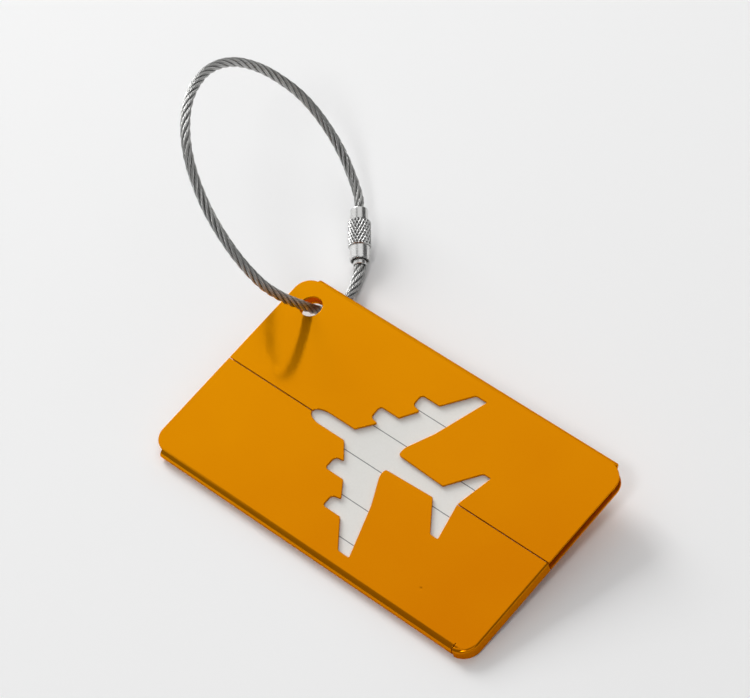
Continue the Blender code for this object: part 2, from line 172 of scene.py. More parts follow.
# Wire rope: six strands of six outer wires each, right-hand lay, its route as in the CAD
STRANDS = 6
WIRES = 6
STRAND_HELIX = 0.655 * MM
WIRE_RADIUS = 0.116 * MM
WIRE_HELIX = 0.222 * MM
ROPE_LAY = 14.0 * MM
WIRE_LAY = 4.6 * MM
RING_SPACING = 0.25 * MM
VALLEY_TOP = 0.86 * MM  # distances from the rope's middle between which painted shade darkens it
VALLEY_BOTTOM = 0.60 * MM
GROOVE_SHADE = 0.45  # how much of that painted shade the groove between two wires gets
RING_POINTS_PER_WIRE = 4
FLARE = 0.26  # how much the strands spread where they come out of the swivel sleeve
FLARE_LENGTH = 5.5 * MM
FLARE_GATHER = 0.4 * MM  # length in which it gathers again at the sleeve's mouth
FLARE_LEFT = 0.05  # how much wider it still is at the mouth
SPAN_STEPS = 16  # points on the curve for each span of the route
ROPE_ROUTE = [
    (-48.0, 45.3, -6.3),
    (-49.8, 46.7, -5.9),
    (-52.2, 48.3, -5.0),
    (-55.7, 50.3, -2.8),
    (-59.1, 51.6, 0.4),
    (-62.7, 52.2, 4.7),
    (-65.7, 51.8, 9.1),
    (-68.1, 50.2, 14.0),
    (-69.6, 48.0, 18.6),
    (-70.4, 44.9, 23.3),
    (-70.3, 41.3, 27.3),
    (-69.3, 37.0, 30.8),
    (-67.5, 32.7, 33.3),
    (-64.9, 28.0, 35.0),
    (-61.8, 23.7, 35.5),
    (-58.0, 19.6, 35.0),
    (-54.1, 16.3, 33.3),
    (-49.9, 13.6, 30.7),
    (-46.0, 11.8, 27.5),
    (-42.1, 10.7, 23.6),
    (-39.3, 10.5, 19.7),
    (-37.0, 11.1, 15.1),
    (-35.7, 12.4, 11.2),
    (-34.9, 14.0, 7.6),
    (-34.5, 15.9, 3.9),
    (-34.3, 17.4, 1.0),
    (-34.3, 18.9, -1.7),
    (-34.2, 20.4, -3.7),
    (-34.1, 22.8, -5.6),
    (-34.5, 25.7, -7.0),
    (-35.7, 28.9, -8.1),
    (-37.3, 32.1, -8.6),
]

# Camera, in the tag's frame
CAMERA_PLACE = Vector((278.62, -167.17, 492.84)) * MM
CAMERA_TARGET = Vector((-17.16, 17.20, 1.30)) * MM
CAMERA_ROLL = math.radians(20.63)
CAMERA_LENS = 152.1  # mm
SENSOR_WIDTH = 36.0  # mm


# Room
FLOOR_HALF = 6.0
AMBIENT = 0.12
LAMPS = [  # name, place, target, size and radiance
    ("overhead", (-0.35, 0.55, 1.2), (-0.35, 0.55, 0), (1.7, 1.1), 0.82),
    ("left_panel", (-1.2, 0.25, 0.6), (0, 0.25, 0.6), (1.5, 1.2), 0.95),
    ("back_panel", (-0.85, 1.3, 0.75), (-0.85, 0, 0.75), (1.5, 0.9), 0.8),
    ("key", (0.22, -0.68, 1.0), (0, 0, 0), (0.25, 0.25), 13.0),
    ("corner_panel", (-0.98, -0.22, 1.2), (-0.98, -0.22, 0), (0.44, 0.5), 0.82),
    ("side_key", (-1.34, 0.40, 0.77), (0, 0, 0), (0.7, 0.7), 9.5),
    ("fill", (0.95, -0.55, 1.0), (0, 0, 0), (1.0, 1.0), 0.8),
]


# --- Camera ---


def make_camera():
    ahead = (CAMERA_TARGET - CAMERA_PLACE).normalized()
    level = ahead.cross(Vector((0, 0, 1))).normalized()
    upright = level.cross(ahead)
    right = level * math.cos(CAMERA_ROLL) - upright * math.sin(CAMERA_ROLL)
    up = right.cross(ahead)
    turn = Matrix((right, up, -ahead)).transposed().to_4x4()
    data = bpy.data.cameras.new("camera")
    data.sensor_width = SENSOR_WIDTH
    data.lens = CAMERA_LENS
    data.clip_start = 0.01
    data.clip_end = 50.0
    camera = bpy.data.objects.new("camera", data)
    bpy.context.scene.collection.objects.link(camera)
    camera.matrix_world = TAG @ Matrix.Translation(CAMERA_PLACE) @ turn
    bpy.context.scene.camera = camera


# --- Materials ---


class Nodes:
    """Short ways to build a material's nodes, in the object's own coordinates, in millimetres."""

    def __init__(self, name):
        self.material = bpy.data.materials.new(name)
        self.material.use_nodes = True
        self.tree = self.material.node_tree
        self.shader = self.tree.nodes["Principled BSDF"]
        place = self.tree.nodes.new("ShaderNodeTexCoord")
        scale = self.tree.nodes.new("ShaderNodeVectorMath")
        scale.operation = "SCALE"
        scale.inputs["Scale"].default_value = 1 / MM
        self.tree.links.new(place.outputs["Object"], scale.inputs[0])
        self.place = scale.outputs["Vector"]
        self.axes = None

    def set(self, **values):
        for name, value in values.items():
            self.shader.inputs[name.replace("_", " ")].default_value = value

    def link(self, value, socket):
        if isinstance(value, bpy.types.NodeSocket):
            self.tree.links.new(value, socket)
        else:
            socket.default_value = value

    def axis(self, letter):
        if self.axes is None:
            split = self.tree.nodes.new("ShaderNodeSeparateXYZ")
            self.tree.links.new(self.place, split.inputs[0])
            self.axes = split.outputs
        return self.axes[letter]

    def math(self, operation, a, b=0.0, clamp=False):
        node = self.tree.nodes.new("ShaderNodeMath")
        node.operation = operation
        node.use_clamp = clamp
        self.link(a, node.inputs[0])
        self.link(b, node.inputs[1])
        return node.outputs[0]

    def stretched(self, scale):
        """The place with each axis scaled, for marks that run along one."""
        node = self.tree.nodes.new("ShaderNodeVectorMath")
        node.operation = "MULTIPLY"
        self.tree.links.new(self.place, node.inputs[0])
        node.inputs[1].default_value = scale
        return node.outputs["Vector"]

    def noise(self, scale, detail=2.0, vector=None):
        node = self.tree.nodes.new("ShaderNodeTexNoise")
        node.inputs["Scale"].default_value = scale
        node.inputs["Detail"].default_value = detail
        self.tree.links.new(vector or self.place, node.inputs["Vector"])
        return node.outputs["Fac"]

    def spread(self, value, low, high, to_low, to_high):
        """value from low..high to to_low..to_high, held at the ends."""
        node = self.tree.nodes.new("ShaderNodeMapRange")
        self.link(value, node.inputs["Value"])
        for name, number in (("From Min", low), ("From Max", high), ("To Min", to_low), ("To Max", to_high)):
            node.inputs[name].default_value = number
        return node.outputs["Result"]

    def blend(self, factor, first, second):
        node = self.tree.nodes.new("ShaderNodeMix")
        node.data_type = "RGBA"
        self.link(factor, node.inputs["Factor"])
        for socket, colour in ((node.inputs[6], first), (node.inputs[7], second)):
            self.link(colour if isinstance(colour, bpy.types.NodeSocket) else (*colour, 1.0), socket)
        return node.outputs[2]

    def colour(self, value):
        self.link(value, self.shader.inputs["Base Color"])

    def roughness(self, value):
        self.link(value, self.shader.inputs["Roughness"])

    def bump(self, height, distance, strength=1.0):
        """height is from 0 to 1, and distance is what 1 stands for, in millimetres."""
        node = self.tree.nodes.new("ShaderNodeBump")
        node.inputs["Strength"].default_value = strength
        node.inputs["Distance"].default_value = distance * MM
        self.tree.links.new(height, node.inputs["Height"])
        self.tree.links.new(node.outputs["Normal"], self.shader.inputs["Normal"])


def gold_anodised():
    """Dyed bright sheet: part mirror and part glow from its dyed layer, with painted shade darkening it
    towards the right end and the bottom edge, random tone, rolling marks, hairlines and haze.
    """
    made = Nodes("gold_anodised")
    made.set(Metallic=0.70, Specular_IOR_Level=0.0, Specular_Tint=(1.0, 0.6, 0.25, 1.0))
    # Painted shade: the colour darkens from the left end and top edge towards the right end and bottom edge;
    # the noise adds random tone.
    slope = made.math("SUBTRACT", made.axis("X"), made.axis("Y"))
    painted_shade = made.spread(slope, -60.0, 62.0, 0.0, 1.0)
    cloud = made.spread(made.noise(0.045), 0.3, 0.7, -0.10, 0.10)
    shade_and_dye_tone = made.math("ADD", painted_shade, cloud, clamp=True)
    made.colour(made.blend(shade_and_dye_tone, (0.80, 0.300, 0.0010), (0.68, 0.205, 0.0008)))
    rolling = made.noise(1.0, 3.0, made.stretched((0.05, 9.0, 9.0)))
    hairline = made.spread(made.noise(1.0, 0.0, made.stretched((0.25, 2.4, 2.4))), 0.70, 0.76, 0.0, 0.05)
    haze = made.spread(made.noise(0.22, 4.0), 0.35, 0.75, 0.10, 0.15)
    made.roughness(made.math("ADD", haze, hairline))
    made.bump(rolling, 0.0006)
    return made.material


def card_stock():
    """Off-white card with thin printed rules and a soft fibre grain."""
    made = Nodes("card_stock")
    made.set(Metallic=0.0, Specular_IOR_Level=0.25)
    lines = None
    for across in RULED_LINES:
        offset = made.math("ABSOLUTE", made.math("SUBTRACT", made.axis("Y"), across))
        line = made.spread(offset, RULED_WIDTH * 0.35, RULED_WIDTH * 0.65, 1.0, 0.0)
        lines = line if lines is None else made.math("MAXIMUM", lines, line)
    fibre = made.noise(2.6, 5.0)
    paper = made.blend(fibre, (0.800, 0.785, 0.745), (0.860, 0.850, 0.815))
    ink = made.math("MULTIPLY", lines, made.spread(made.noise(3.0), 0.2, 0.6, 0.75, 0.92))
    made.colour(made.blend(ink, paper, (0.085, 0.088, 0.095)))
    made.roughness(made.spread(fibre, 0.3, 0.7, 0.62, 0.74))
    made.bump(fibre, 0.010, 0.5)
    return made.material


def drawn_wire():
    """Bright drawn steel wire, with painted shade darkening the valleys between strands and the grooves
    between wires, and random patches of tone.
    """
    made = Nodes("drawn_wire")
    made.set(Metallic=1.0)
    # Painted shade, read from the rope's mesh: darkest deep between strands and in the grooves between
    # wires.
    painted_shade = made.tree.nodes.new("ShaderNodeAttribute")
    painted_shade.attribute_name = "valley_shade"
    patches = made.spread(made.noise(0.9, 3.0), 0.35, 0.7, -0.1, 0.12)
    shade_and_patches = made.math("ADD", painted_shade.outputs["Fac"], patches, clamp=True)
    made.colour(made.blend(shade_and_patches, (0.52, 0.52, 0.51), (0.05, 0.05, 0.048)))
    made.roughness(made.spread(made.noise(3.0, 3.0), 0.3, 0.7, 0.27, 0.38))
    made.bump(made.noise(14.0, 2.0), 0.003, 0.4)
    return made.material


def turned_steel():
    """Satin steel with fine turning rings round the clasp's axis."""
    made = Nodes("turned_steel")
    made.set(Metallic=1.0)
    rings = made.noise(1.0, 2.0, made.stretched((0.2, 0.2, 16.0)))
    made.colour(made.blend(rings, (0.70, 0.70, 0.69), (0.60, 0.60, 0.59)))
    made.roughness(made.spread(made.noise(0.8, 3.0), 0.3, 0.7, 0.19, 0.30))
    made.bump(rings, 0.0015)
    return made.material


def knurled_steel():
    """The barrel: rolled crests brighter than the grooves, which are painted dark as painted shade."""
    made = Nodes("knurled_steel")
    made.set(Metallic=1.0)
    x_squared = made.math("POWER", made.axis("X"), 2.0)
    y_squared = made.math("POWER", made.axis("Y"), 2.0)
    radius = made.math("SQRT", made.math("ADD", x_squared, y_squared))
    crest = made.spread(radius, (NUT_RADIUS - KNURL_DEPTH) / MM, NUT_RADIUS / MM, 0.0, 1.0)
    smooth = made.math("LESS_THAN", made.axis("Z"), SKIRT_TOP / MM)
    # Painted shade: darkest down in the knurl's grooves; the smooth skirt below keeps the bright colour.
    made.colour(made.blend(made.math("MAXIMUM", crest, smooth), (0.10, 0.10, 0.098), (0.74, 0.74, 0.73)))
    made.roughness(made.spread(made.noise(1.2, 3.0), 0.3, 0.7, 0.20, 0.32))
    made.bump(made.noise(1.0, 2.0, made.stretched((0.2, 0.2, 16.0))), 0.0015)
    return made.material


def floor_white():
    made = Nodes("floor_white")
    made.set(Metallic=0.0, Specular_IOR_Level=0.1)
    made.colour(made.blend(made.noise(0.004), (0.93, 0.93, 0.93), (0.95, 0.95, 0.95)))
    made.roughness(0.9)
    return made.material


# --- Shapes ---


def new_object(name, mesh, material, place=TAG):
    made = bpy.data.objects.new(name, mesh)
    bpy.context.scene.collection.objects.link(made)
    made.matrix_world = place
    mesh.materials.clear()
    mesh.materials.append(material)
    return made


def arc(centre, radius, start, end):
    steps = max(2, round(abs(end - start) / ARC_STEP))
    angles = [start + (end - start) * i / steps for i in range(steps + 1)]
    return [(centre[0] + radius * math.cos(a), centre[1] + radius * math.sin(a)) for a in angles]


def rounded(corners):
    """An open outline through the corners (x, y, radius), each but the ends rounded by its own radius."""
    outline = [corners[0][:2]]
    for before, here, after in zip(corners, corners[1:], corners[2:]):
        corner = Vector(here[:2])
        back = (Vector(before[:2]) - corner).normalized()
        ahead = (Vector(after[:2]) - corner).normalized()
        half = back.angle(ahead) / 2
        centre = corner + (back + ahead).normalized() * (here[2] / math.sin(half))
        first = corner + back * (here[2] / math.tan(half)) - centre
        last = corner + ahead * (here[2] / math.tan(half)) - centre
        start = math.atan2(first.y, first.x)
        turn = math.remainder(math.atan2(last.y, last.x) - start, math.tau)
        outline += arc(centre, here[2], start, start + turn)
    return outline + [corners[-1][:2]]


def aeroplane_half():
    """One half of the cut-out from nose to tail, clipped where the leaf's seam edge meets it."""
    nose = [
        (NOSE + NOSE_LENGTH * (1 - math.cos(a)), FUSELAGE_HALF * math.sin(a))
        for a in (math.radians(10 * i) for i in range(9))
    ]
    side = [(NOSE + NOSE_LENGTH, FUSELAGE_HALF, 0)]
    side += [(x * MM, y * MM, radius * MM) for x, y, radius in AEROPLANE_CORNERS]
    half = nose + rounded(side)

    def at_seam(inner, outer):
        part = (HALF_SEAM - inner[1]) / (outer[1] - inner[1])
        return (inner[0] + (outer[0] - inner[0]) * part, HALF_SEAM)

    return [at_seam(half[0], half[1])] + half[1:-1] + [at_seam(half[-1], half[-2])]


def filled(work, outlines):
    """Adds flat faces between closed outlines, the first the outside and the others holes."""
    edges = []
    for outline in outlines:
        verts = [work.verts.new((x, v, 0)) for x, v in outline]
        edges += [work.edges.new(pair) for pair in zip(verts, verts[1:] + verts[:1])]
    bmesh.ops.triangle_fill(work, use_beauty=True, use_dissolve=False, edges=edges, normal=(0, 0, 1))
    bmesh.ops.dissolve_limit(work, angle_limit=math.radians(1), verts=[], edges=work.edges[:])


class Bend:
    """The middle surface of a folded sheet: a profile (y, z) and the way along it, v, |y| in front."""

    def __init__(self, profile, start):
        self.rows = [start]
        for a, b in zip(profile, profile[1:]):
            self.rows.append(self.rows[-1] + math.dist(a, b))
        self.profile = profile

    def place(self, v):
        for i, (low, high) in enumerate(zip(self.rows, self.rows[1:])):
            if v <= high or i == len(self.rows) - 2:
                part = (v - low) / (high - low)
                (y0, z0), (y1, z1) = self.profile[i], self.profile[i + 1]
                return (y0 + (y1 - y0) * part, z0 + (z1 - z0) * part)

    def fold(self, work):
        """Cuts the flat faces along each row, then moves them into place."""
        for v in self.rows[1:-1]:
            everything = work.verts[:] + work.edges[:] + work.faces[:]
            bmesh.ops.bisect_plane(work, geom=everything, plane_co=(0, v, 0), plane_no=(0, 1, 0), dist=WELD)
        for vert in work.verts:
            vert.co.y, vert.co.z = self.place(vert.co.y)


def fold_arc(side):
    """Profile points round a fold, front to back. side is 1 for the top fold and -1 for the bottom one."""
    angles = [math.pi / 2 - math.pi * i / FOLD_STEPS for i in range(FOLD_STEPS + 1)]
    return [(side * (FOLD_CENTRE + MIDDLE * math.cos(a)), MIDDLE * math.sin(a)) for a in angles]


FOLD_LENGTH = 2 * FOLD_STEPS * MIDDLE * math.sin(math.pi / FOLD_STEPS / 2)
BACK_START = FOLD_CENTRE + FOLD_LENGTH


def behind(across):
    """The way along a sheet to the point of its back leaf that lies this far across from the middle."""
    return BACK_START + FOLD_CENTRE - across


def corner(side, front):
    """The arc that rounds a corner of a leaf, from the fold's end outwards. side is 1 at the right end."""
    centre = FOLD_CENTRE + CORNER_RISE - CORNER_RADIUS
    end = math.acos((FOLD_END - LENGTH / 2 + CORNER_RADIUS) / CORNER_RADIUS)
    points = arc((LENGTH / 2 - CORNER_RADIUS, centre), CORNER_RADIUS, end, 0)
    return [(side * x, y if front else behind(y)) for x, y in points]


def circle(centre, radius):
    angles = [math.tau * i / HOLE_STEPS for i in range(HOLE_STEPS)]
    return [(centre[0] + radius * math.cos(a), centre[1] + radius * math.sin(a)) for a in angles]


def sheet_object(name, work, material):
    """The folded middle surface as a sheet of the right gauge; break_edges gives it its slightly broken
    edges.
    """
    bmesh.ops.remove_doubles(work, verts=work.verts, dist=WELD)
    bmesh.ops.recalc_face_normals(work, faces=work.faces)
    for face in work.faces:
        face.smooth = True
    mesh = bpy.data.meshes.new(name)
    work.to_mesh(mesh)
    work.free()
    sheet = new_object(name, mesh, material)
    gauge = sheet.modifiers.new("gauge", "SOLIDIFY")
    gauge.thickness = SHEET
    gauge.offset = 0.0
    gauge.use_even_offset = True
    return sheet


def break_edges(sheet):
    edge = sheet.modifiers.new("broken_edge", "BEVEL")
    edge.width = EDGE_BEVEL
    edge.segments = 2
    edge.limit_method = "ANGLE"
    edge.angle_limit = math.radians(60)
    edge.use_clamp_overlap = False
    edge.harden_normals = True


def make_upper_shell(material):
    fold = fold_arc(1)
    profile = [(HALF_SEAM, MIDDLE), (FOLD_CENTRE - FLAT_STRIP, MIDDLE)] + fold
    profile += [(FOLD_CENTRE - FLAT_STRIP, -MIDDLE), (LAP_EDGE, -MIDDLE)]
    bend = Bend(profile, HALF_SEAM)
    end = LENGTH / 2
    beside_wall = end - SHEET - WALL_CLEARANCE
    outline = [(-end, HALF_SEAM)] + aeroplane_half() + [(end, HALF_SEAM)]
    outline += corner(1, True)[::-1] + corner(1, False)
    outline += [(end, behind(HALF_SEAM)), (beside_wall, behind(HALF_SEAM))]
    outline += [(beside_wall, behind(LAP_EDGE)), (-end, behind(LAP_EDGE))]
    outline += corner(-1, False)[::-1] + corner(-1, True)
    holes = [circle(HOLE, HOLE_RADIUS), circle((HOLE[0], behind(HOLE[1])), HOLE_RADIUS)]
    work = bmesh.new()
    filled(work, [outline] + holes)
    bend.fold(work)
    shell = sheet_object("upper_shell_sheet", work, material)
    break_edges(shell)
    return shell


def end_wall(work, path):
    """Bends the wall down along the path: points on the front leaf's edge with their outward directions."""
    quarter = [math.pi / 2 * i / BEND_STEPS for i in range(BEND_STEPS + 1)]
    section = [(-FLAT_STRIP, MIDDLE)]
    section += [(WALL_BEND * math.sin(a), MIDDLE - WALL_BEND * (1 - math.cos(a))) for a in quarter]
    section += [(WALL_BEND, MIDDLE - WALL_BEND - FLAT_STRIP), (WALL_BEND, -FRONT_TOP)]
    rows = [
        [work.verts.new((x + nx * out, y + ny * out, z)) for out, z in section]
        for (x, y), (nx, ny) in path
    ]
    for row, following in zip(rows, rows[1:]):
        for a, b, c, d in zip(row, row[1:], following[1:], following):
            work.faces.new((a, b, c, d))


def press_dimple(shell):
    """Cuts the dimple, breaks the edges and leaves the result as the shell's own mesh."""
    press = bmesh.new()
    where = Matrix.Translation((*DIMPLE, FRONT_TOP + DIMPLE_SPHERE - DIMPLE_DEPTH))
    bmesh.ops.create_uvsphere(press, u_segments=96, v_segments=160, radius=DIMPLE_SPHERE, matrix=where)
    mesh = bpy.data.meshes.new("dimple_press")
    press.to_mesh(mesh)
    press.free()
    tool = bpy.data.objects.new("dimple_press", mesh)
    bpy.context.scene.collection.objects.link(tool)
    tool.matrix_world = TAG
    dent = shell.modifiers.new("dimple", "BOOLEAN")
    dent.operation = "DIFFERENCE"
    dent.object = tool
    break_edges(shell)
    bpy.context.view_layer.update()
    graph = bpy.context.evaluated_depsgraph_get()
    settled = bpy.data.meshes.new_from_object(shell.evaluated_get(graph))
    shell.modifiers.clear()
    shell.data = settled
    bpy.data.objects.remove(tool)


def make_lower_shell(material):
    fold = fold_arc(-1)
    low, high = -MIDDLE, -MIDDLE + STEP_RISE
    profile = [(-HALF_SEAM, MIDDLE), (FLAT_STRIP - FOLD_CENTRE, MIDDLE)] + fold
    profile += [(FLAT_STRIP - FOLD_CENTRE, low), (STEP_START - FLAT_STRIP, low), (STEP_START, low)]
    profile += [(STEP_END, high), (STEP_END + FLAT_STRIP, high), (INNER_LEAF_EDGE, high)]
    bend = Bend(profile, HALF_SEAM)
    after_step = bend.rows[profile.index((STEP_END, high))]

    def inner(y):
        return after_step + y - STEP_END

    end = LENGTH / 2
    wall_centre = end - WALL_RADIUS
    bend_radius = WALL_RADIUS - SHEET / 2 - WALL_BEND
    leaf_radius = bend_radius - FLAT_STRIP
    inside = end - SHEET - WALL_CLEARANCE
    slit_left = WALL_START - SLIT
    slit_end = FOLD_CENTRE - FLAT_STRIP

    def round_wall(radius):
        """The wall's corner at this radius, from the seam side to the slit, in (x, v)."""
        last = math.acos((WALL_START - wall_centre) / radius)
        return arc((wall_centre, WIDTH / 2 - WALL_RADIUS), radius, 0, last)

    outline = [(-end, HALF_SEAM)] + aeroplane_half() + [(wall_centre + leaf_radius, HALF_SEAM)]
    outline += round_wall(leaf_radius)
    outline += [(WALL_START, slit_end), (slit_left, slit_end), (slit_left, BACK_START)]
    room = WALL_RADIUS - SHEET - WALL_CLEARANCE
    from_fold = math.asin((FOLD_CENTRE - WIDTH / 2 + WALL_RADIUS) / room)
    corner_arc = arc((wall_centre, WIDTH / 2 - WALL_RADIUS), room, from_fold, 0)
    outline += [(x, behind(y)) for x, y in corner_arc]
    outline += [(inside, inner(FOLD_CENTRE - CORNER_RADIUS)), (FOLD_END, inner(FOLD_CENTRE - CORNER_RADIUS))]
    outline += [(FOLD_END, inner(INNER_LEAF_EDGE)), (CLEAR_X, inner(INNER_LEAF_EDGE))]
    outline += [(CLEAR_X, inner(CLEAR_Y)), (-end, inner(CLEAR_Y))]
    outline += corner(-1, False)[::-1] + corner(-1, True)
    work = bmesh.new()
    filled(work, [outline])
    bend.fold(work)

    centre = Vector((wall_centre, WALL_RADIUS - WIDTH / 2))
    path = [((wall_centre + bend_radius, -HALF_SEAM), (1.0, 0.0))]
    for x, v in round_wall(leaf_radius):
        outward = (Vector((x, -v)) - centre).normalized()
        path.append((tuple(centre + outward * bend_radius), tuple(outward)))
    end_wall(work, path)

    shell = sheet_object("lower_shell_sheet", work, material)
    press_dimple(shell)
    return shell


def make_card(material):
    half, middle = CARD_HALF_WIDTH, (CARD_LEFT + CARD_RIGHT) / 2
    corners = [
        (middle, -half, 0),
        (CARD_RIGHT, -half, CARD_CORNER),
        (CARD_RIGHT, half, CARD_CORNER),
        (CLEAR_X, half, NOTCH_OUTER_CORNER),
        (CLEAR_X, CLEAR_Y, NOTCH_INNER_CORNER),
        (CARD_LEFT, CLEAR_Y, NOTCH_OUTER_CORNER),
        (CARD_LEFT, -half, CARD_CORNER),
        (middle, -half, 0),
    ]
    work = bmesh.new()
    filled(work, [rounded(corners)[:-1]])
    bmesh.ops.translate(work, verts=work.verts, vec=(0, 0, (CARD_LOW + CARD_HIGH) / 2))
    mesh = bpy.data.meshes.new("address_card")
    work.to_mesh(mesh)
    work.free()
    card = new_object("address_card", mesh, material)
    stock = card.modifiers.new("stock", "SOLIDIFY")
    stock.thickness = CARD_HIGH - CARD_LOW
    stock.offset = 0.0
    edge = card.modifiers.new("edge", "BEVEL")
    edge.width = CARD_BEVEL
    edge.segments = 2
    edge.limit_method = "ANGLE"
    return card


# --- Clasp ---


def clasp_place():
    """From the clasp's own frame, Z along its axis from its foot, to the row frame."""
    turn = CLASP_AXIS.to_track_quat("Z", "X").to_matrix().to_4x4()
    return TAG @ Matrix.Translation(CLASP_FOOT) @ turn


def lathe(name, profile, columns, material, depth_at=None):
    """Turns a profile of (radius, height), outer side running downwards.

    depth_at(angle, height, radius) is what a groove takes off the radius there.
    """
    work = bmesh.new()
    rings = []
    for radius, height in profile:
        if radius == 0:
            rings.append([work.verts.new((0, 0, height))])
            continue
        ring = []
        for i in range(columns):
            angle = math.tau * i / columns
            r = radius - (depth_at(angle, height, radius) if depth_at else 0.0)
            ring.append(work.verts.new((r * math.cos(angle), r * math.sin(angle), height)))
        rings.append(ring)
    closed = profile[0][0] > 0
    pairs = list(zip(rings, rings[1:])) + ([(rings[-1], rings[0])] if closed else [])
    for upper, lower in pairs:
        for i in range(columns):
            j = (i + 1) % columns
            corners = [upper[i % len(upper)], lower[i % len(lower)]]
            corners += [lower[j % len(lower)], upper[j % len(upper)]]
            work.faces.new(list(dict.fromkeys(corners)))
    bmesh.ops.recalc_face_normals(work, faces=work.faces)
    mesh = bpy.data.meshes.new(name)
    work.to_mesh(mesh)
    work.free()
    mesh.shade_smooth()
    mesh.set_sharp_from_angle(angle=math.radians(32))
    return new_object(name, mesh, material, clasp_place())


def stepped(high, low, radius, step):
    """Profile rows down a straight stretch, both ends among them."""
    count = max(1, round((high - low) / step))
    return [(radius, high + (low - high) * i / count) for i in range(count + 1)]


def triangle_wave(turns):
    """0 at whole numbers and 1 halfway between them."""
    return 1 - abs(2 * (turns % 1.0) - 1)


def make_barrel(material):
    chamfer = 0.22 * MM
    knurl_low, knurl_high = SKIRT_TOP + chamfer, NUT_TOP - chamfer

    def knurl(angle, height, radius):
        if radius < NUT_RADIUS or not knurl_low <= height <= knurl_high:
            return 0.0
        around = KNURL_TEETH * angle / math.tau
        first = triangle_wave(around + height / KNURL_PITCH)
        second = triangle_wave(around - height / KNURL_PITCH)
        return KNURL_DEPTH * max(0.0, min(1.0, KNURL_SLOPE * min(first, second) - KNURL_CREST))

    small = 0.08 * MM
    profile = [(NUT_BORE_RADIUS, NUT_TOP - small), (NUT_BORE_RADIUS + small, NUT_TOP)]
    profile += [(NUT_RADIUS - chamfer, NUT_TOP)]
    profile += stepped(knurl_high, knurl_low, NUT_RADIUS, KNURL_STEP)
    profile += [(NUT_RADIUS - chamfer, SKIRT_TOP)]
    profile += stepped(SKIRT_TOP - ROW_GAP, small, SKIRT_RADIUS, PLAIN_STEP)
    profile += [(SKIRT_RADIUS - small * ROUNDING, small * ROUNDING), (SKIRT_RADIUS - small, 0)]
    profile += [(RECESS_RADIUS + small, 0), (RECESS_RADIUS, small), (RECESS_RADIUS, RECESS_DEPTH)]
    profile += [(NECK_RADIUS, RECESS_DEPTH), (NECK_RADIUS, NECK_TOP), (NUT_BORE_RADIUS, NECK_TOP)]
    return lathe("clasp_barrel", profile, BARREL_COLUMNS, material, knurl)


def make_collar(material):
    small = 0.12 * MM
    thread_high, thread_low = COLLAR_START - 0.25 * MM, STUD_START + 0.15 * MM

    def thread(angle, height, radius):
        if radius < THREAD_CREST or not thread_low <= height <= thread_high:
            return 0.0
        return (THREAD_CREST - THREAD_ROOT) * triangle_wave(height / THREAD_PITCH - angle / math.tau)

    profile = [(0, STUD_BORE_END), (FERRULE_BORE_RADIUS, STUD_BORE_END)]
    profile += [(FERRULE_BORE_RADIUS, CLASP_LENGTH - small), (FERRULE_BORE_RADIUS + small, CLASP_LENGTH)]
    profile += [(COLLAR_RADIUS - small, CLASP_LENGTH)]
    profile += [(COLLAR_RADIUS - small * ROUNDING, CLASP_LENGTH - small * ROUNDING)]
    profile += stepped(CLASP_LENGTH - small, COLLAR_START + small, COLLAR_RADIUS, PLAIN_STEP)
    profile += [(COLLAR_RADIUS - small, COLLAR_START), (THREAD_ROOT, COLLAR_START)]
    profile += [(THREAD_ROOT, thread_high + ROW_GAP)]
    just_over = THREAD_CREST + WELD  # so that rounding doesn't leave a row out of the thread
    profile += stepped(thread_high, thread_low, just_over, KNURL_STEP)
    profile += [(THREAD_ROOT - small, STUD_START), (0, STUD_START)]

    return lathe("clasp_collar", profile, PLAIN_COLUMNS, material, thread)


def make_sleeve(material):
    small = 0.08 * MM
    profile = [(0, FLANGE_TOP), (FLANGE_RADIUS - small, FLANGE_TOP), (FLANGE_RADIUS, FLANGE_TOP - small)]
    profile += [(FLANGE_RADIUS, FLANGE_START), (SLEEVE_RADIUS, FLANGE_START)]
    profile += [(SLEEVE_RADIUS, SLEEVE_START + small), (SLEEVE_RADIUS - small, SLEEVE_START)]
    profile += [(FERRULE_BORE_RADIUS, SLEEVE_START), (FERRULE_BORE_RADIUS, SLEEVE_BORE_END)]
    profile += [(0, SLEEVE_BORE_END)]
    return lathe("clasp_sleeve", profile, PLAIN_COLUMNS, material)


# --- Wire rope ---


def smooth_through(points, steps):
    """Points on a Catmull-Rom curve through the given ones, steps to each span."""
    padded = [points[0] * 2 - points[1]] + points + [points[-1] * 2 - points[-2]]
    curve = []
    for a, b, c, d in zip(padded, padded[1:], padded[2:], padded[3:]):
        for i in range(steps):
            t = i / steps
            curve.append(
                b
                + (c - a) * (t / 2)
                + (a * 2 - b * 5 + c * 4 - d) * (t * t / 2)
                + (b * 3 - a - c * 3 + d) * (t**3 / 2)
            )
    return curve + [points[-1]]


def evenly(points, spacing):
    """Points at equal steps of about this spacing along a line, and its length."""
    total = sum((b - a).length for a, b in zip(points, points[1:]))
    count = round(total / spacing)
    step, even, travelled, wanted = total / count, [points[0]], 0.0, total / count
    for a, b in zip(points, points[1:]):
        span = (b - a).length
        while wanted <= travelled + span and len(even) < count:
            even.append(a.lerp(b, (wanted - travelled) / span))
            wanted += step
        travelled += span
    return even + [points[-1]], total


def rope_line():
    route = [CLASP_FOOT + CLASP_AXIS * ROPE_END_IN_STUD, CLASP_HEAD]
    route += [Vector(point) * MM for point in ROPE_ROUTE]
    route += [CLASP_FOOT + CLASP_AXIS * SLEEVE_START, CLASP_FOOT + CLASP_AXIS * ROPE_END_IN_SLEEVE]
    return evenly(smooth_through(route, SPAN_STEPS), RING_SPACING)


